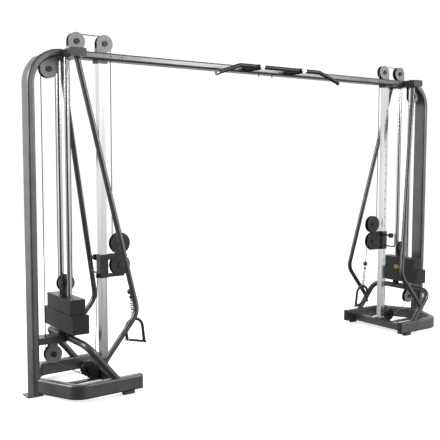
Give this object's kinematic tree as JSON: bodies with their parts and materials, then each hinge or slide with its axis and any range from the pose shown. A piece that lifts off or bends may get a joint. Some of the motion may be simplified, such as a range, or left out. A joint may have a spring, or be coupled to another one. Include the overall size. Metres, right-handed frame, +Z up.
{
  "type": "cable crossover machine",
  "caption": "Cable crossover gym machine: weight-stack towers joined by a crossbeam with a pull-up bar, sliding pulley carriages and hanging handles.",
  "frame": {"origin": "on the floor, midway between the towers, in the plane of the cables", "axes": "+X along the crossbeam to the right tower, +Y to the rear (the pull-up bar is at -Y), +Z up"},
  "size_m": [4.02, 0.714, 2.4219],
  "materials": {
    "frame_paint": "satin",
    "guard_paint": "satin",
    "bright_steel": "satin",
    "chrome": "polished",
    "weight_black": "matte",
    "black_plastic": "matte",
    "sheave_nylon": "matte",
    "foot_rubber": "matte",
    "cable_coat": "gloss",
    "knob_yellow": "gloss",
    "webbing": "matte",
    "grip_rubber": "matte"
  },
  "bodies": {
    "frame": {"crossbeam": "frame_paint", "pull_up_bar": "frame_paint", "pull_up_fittings": "bright_steel", "junction_blocks": "frame_paint", "left_upright": "frame_paint", "right_upright": "frame_paint", "left_base_frame": "frame_paint", "right_base_frame": "frame_paint", "arm_end_caps": "black_plastic", "lower_braces": "frame_paint", "guard_tubes": "guard_paint", "columns": "chrome", "pulley_cheeks": "guard_paint", "machine_bolts": "bright_steel", "guide_rods": "chrome", "resting_weights": "weight_black", "rubber_feet_and_bumpers": "foot_rubber", "fixed_cables": "cable_coat", "left_stack_strands": "cable_coat", "left_carriage_strand_up": "cable_coat", "left_carriage_strand_down": "cable_coat", "right_stack_strands": "cable_coat", "right_carriage_strand_up": "cable_coat", "right_carriage_strand_down": "cable_coat"},
    "left_stack": {"left_lifted_weights": "weight_black", "left_stack_fork": "guard_paint"},
    "left_selector_pin": {"left_selector_pin": "knob_yellow"},
    "left_carriage": {"left_carriage": "frame_paint", "left_carriage_discs": "black_plastic", "left_carriage_cable": "cable_coat"},
    "left_pop_pin": {"left_pop_pin": "black_plastic"},
    "left_handle": {"left_handle_tail": "bright_steel", "left_handle_strap": "webbing"},
    "left_grip": {"left_handle_grip": "grip_rubber"},
    "left_top_inner_sheave": {"left_top_inner_sheave": "sheave_nylon"},
    "left_top_outer_sheave": {"left_top_outer_sheave": "sheave_nylon"},
    "left_stack_sheave": {"left_stack_sheave": "sheave_nylon"},
    "left_carriage_upper_sheave": {"left_carriage_upper_sheave": "sheave_nylon"},
    "left_carriage_lower_sheave": {"left_carriage_lower_sheave": "sheave_nylon"},
    "left_bend_sheave": {"left_bend_sheave": "sheave_nylon"},
    "left_low_outer_sheave": {"left_low_outer_sheave": "sheave_nylon"},
    "left_low_inner_sheave": {"left_low_inner_sheave": "sheave_nylon"},
    "right_stack": {"right_lifted_weights": "weight_black", "right_stack_fork": "guard_paint"},
    "right_selector_pin": {"right_selector_pin": "knob_yellow"},
    "right_carriage": {"right_carriage": "frame_paint", "right_carriage_discs": "black_plastic", "right_carriage_cable": "cable_coat"},
    "right_pop_pin": {"right_pop_pin": "black_plastic"},
    "right_handle": {"right_handle_tail": "bright_steel", "right_handle_strap": "webbing"},
    "right_grip": {"right_handle_grip": "grip_rubber"},
    "right_top_inner_sheave": {"right_top_inner_sheave": "sheave_nylon"},
    "right_top_outer_sheave": {"right_top_outer_sheave": "sheave_nylon"},
    "right_stack_sheave": {"right_stack_sheave": "sheave_nylon"},
    "right_carriage_upper_sheave": {"right_carriage_upper_sheave": "sheave_nylon"},
    "right_carriage_lower_sheave": {"right_carriage_lower_sheave": "sheave_nylon"},
    "right_bend_sheave": {"right_bend_sheave": "sheave_nylon"},
    "right_low_outer_sheave": {"right_low_outer_sheave": "sheave_nylon"},
    "right_low_inner_sheave": {"right_low_inner_sheave": "sheave_nylon"}
  },
  "joints": [
    {"name": "left_stack_lift", "type": "slide", "parent": "frame", "child": "left_stack", "axis": [0, 0, 1], "range_m": [0, 1.15], "deforming": ["left_stack_strands"]},
    {"name": "left_selector_pull", "type": "slide", "parent": "left_stack", "child": "left_selector_pin", "axis": [1, 0, 0], "range_m": [0, 0.072]},
    {"name": "left_carriage_slide", "type": "slide", "parent": "frame", "child": "left_carriage", "axis": [0, 0, 1], "range_m": [-0.162, 1.134], "deforming": ["left_carriage_strand_up", "left_carriage_strand_down"]},
    {"name": "left_pop_pin_push", "type": "slide", "parent": "left_carriage", "child": "left_pop_pin", "axis": [0, -1, 0], "range_m": [0, 0.012]},
    {"name": "left_handle_swing", "type": "hinge", "parent": "left_carriage", "child": "left_handle", "pos_m": [-1.24342, 0, 0.83482], "axis": [0, -1, 0], "range_deg": [0, 60]},
    {"name": "left_grip_spin", "type": "hinge", "parent": "left_handle", "child": "left_grip", "pos_m": [-1.17282, 0, 0.25984], "axis": [-0.9744, 0, 0.225], "continuous": true},
    {"name": "left_top_inner_sheave_spin", "type": "hinge", "parent": "frame", "child": "left_top_inner_sheave", "pos_m": [-1.405, 0, 2.362], "axis": [0, -1, 0], "continuous": true},
    {"name": "left_top_outer_sheave_spin", "type": "hinge", "parent": "frame", "child": "left_top_outer_sheave", "pos_m": [-1.612, 0, 2.362], "axis": [0, -1, 0], "continuous": true},
    {"name": "left_stack_sheave_spin", "type": "hinge", "parent": "left_stack", "child": "left_stack_sheave", "pos_m": [-1.712, 0, 0.737], "axis": [0, -1, 0], "continuous": true},
    {"name": "left_carriage_upper_sheave_spin", "type": "hinge", "parent": "left_carriage", "child": "left_carriage_upper_sheave", "pos_m": [-1.299, 0, 0.983], "axis": [0, -1, 0], "continuous": true},
    {"name": "left_carriage_lower_sheave_spin", "type": "hinge", "parent": "left_carriage", "child": "left_carriage_lower_sheave", "pos_m": [-1.299, 0, 0.828], "axis": [0, -1, 0], "continuous": true},
    {"name": "left_bend_sheave_spin", "type": "hinge", "parent": "frame", "child": "left_bend_sheave", "pos_m": [-1.812, 0, 2.165], "axis": [0, -1, 0], "continuous": true},
    {"name": "left_low_outer_sheave_spin", "type": "hinge", "parent": "frame", "child": "left_low_outer_sheave", "pos_m": [-1.812, 0, 0.262], "axis": [0, -1, 0], "continuous": true},
    {"name": "left_low_inner_sheave_spin", "type": "hinge", "parent": "frame", "child": "left_low_inner_sheave", "pos_m": [-1.551, 0, 0.115], "axis": [0, -1, 0], "continuous": true},
    {"name": "right_stack_lift", "type": "slide", "parent": "frame", "child": "right_stack", "axis": [0, 0, 1], "range_m": [0, 1.15], "deforming": ["right_stack_strands"]},
    {"name": "right_selector_pull", "type": "slide", "parent": "right_stack", "child": "right_selector_pin", "axis": [-1, 0, 0], "range_m": [0, 0.072]},
    {"name": "right_carriage_slide", "type": "slide", "parent": "frame", "child": "right_carriage", "axis": [0, 0, 1], "range_m": [-0.162, 1.134], "deforming": ["right_carriage_strand_up", "right_carriage_strand_down"]},
    {"name": "right_pop_pin_push", "type": "slide", "parent": "right_carriage", "child": "right_pop_pin", "axis": [0, 1, 0], "range_m": [0, 0.012]},
    {"name": "right_handle_swing", "type": "hinge", "parent": "right_carriage", "child": "right_handle", "pos_m": [1.24342, 0, 0.83482], "axis": [0, 1, 0], "range_deg": [0, 60]},
    {"name": "right_grip_spin", "type": "hinge", "parent": "right_handle", "child": "right_grip", "pos_m": [1.17282, 0, 0.25984], "axis": [0.9744, 0, 0.225], "continuous": true},
    {"name": "right_top_inner_sheave_spin", "type": "hinge", "parent": "frame", "child": "right_top_inner_sheave", "pos_m": [1.405, 0, 2.362], "axis": [0, 1, 0], "continuous": true},
    {"name": "right_top_outer_sheave_spin", "type": "hinge", "parent": "frame", "child": "right_top_outer_sheave", "pos_m": [1.612, 0, 2.362], "axis": [0, 1, 0], "continuous": true},
    {"name": "right_stack_sheave_spin", "type": "hinge", "parent": "right_stack", "child": "right_stack_sheave", "pos_m": [1.712, 0, 0.737], "axis": [0, 1, 0], "continuous": true},
    {"name": "right_carriage_upper_sheave_spin", "type": "hinge", "parent": "right_carriage", "child": "right_carriage_upper_sheave", "pos_m": [1.299, 0, 0.983], "axis": [0, 1, 0], "continuous": true},
    {"name": "right_carriage_lower_sheave_spin", "type": "hinge", "parent": "right_carriage", "child": "right_carriage_lower_sheave", "pos_m": [1.299, 0, 0.828], "axis": [0, 1, 0], "continuous": true},
    {"name": "right_bend_sheave_spin", "type": "hinge", "parent": "frame", "child": "right_bend_sheave", "pos_m": [1.812, 0, 2.165], "axis": [0, 1, 0], "continuous": true},
    {"name": "right_low_outer_sheave_spin", "type": "hinge", "parent": "frame", "child": "right_low_outer_sheave", "pos_m": [1.812, 0, 0.262], "axis": [0, 1, 0], "continuous": true},
    {"name": "right_low_inner_sheave_spin", "type": "hinge", "parent": "frame", "child": "right_low_inner_sheave", "pos_m": [1.551, 0, 0.115], "axis": [0, 1, 0], "continuous": true}
  ],
  "couplings": [
    {"joint": "left_top_inner_sheave_spin", "follows": "left_stack_lift", "rad_per_m": -40},
    {"joint": "left_top_outer_sheave_spin", "follows": "left_stack_lift", "rad_per_m": -40},
    {"joint": "left_stack_sheave_spin", "follows": "left_stack_lift", "rad_per_m": 20},
    {"joint": "left_carriage_upper_sheave_spin", "follows": "left_stack_lift", "rad_per_m": 35.714},
    {"joint": "left_carriage_lower_sheave_spin", "follows": "left_stack_lift", "rad_per_m": -35.714},
    {"joint": "left_bend_sheave_spin", "follows": "left_carriage_slide", "rad_per_m": 20},
    {"joint": "left_low_outer_sheave_spin", "follows": "left_carriage_slide", "rad_per_m": 20},
    {"joint": "left_low_inner_sheave_spin", "follows": "left_carriage_slide", "rad_per_m": 20},
    {"joint": "right_top_inner_sheave_spin", "follows": "right_stack_lift", "rad_per_m": -40},
    {"joint": "right_top_outer_sheave_spin", "follows": "right_stack_lift", "rad_per_m": -40},
    {"joint": "right_stack_sheave_spin", "follows": "right_stack_lift", "rad_per_m": 20},
    {"joint": "right_carriage_upper_sheave_spin", "follows": "right_stack_lift", "rad_per_m": 35.714},
    {"joint": "right_carriage_lower_sheave_spin", "follows": "right_stack_lift", "rad_per_m": -35.714},
    {"joint": "right_bend_sheave_spin", "follows": "right_carriage_slide", "rad_per_m": 20},
    {"joint": "right_low_outer_sheave_spin", "follows": "right_carriage_slide", "rad_per_m": 20},
    {"joint": "right_low_inner_sheave_spin", "follows": "right_carriage_slide", "rad_per_m": 20}
  ]
}
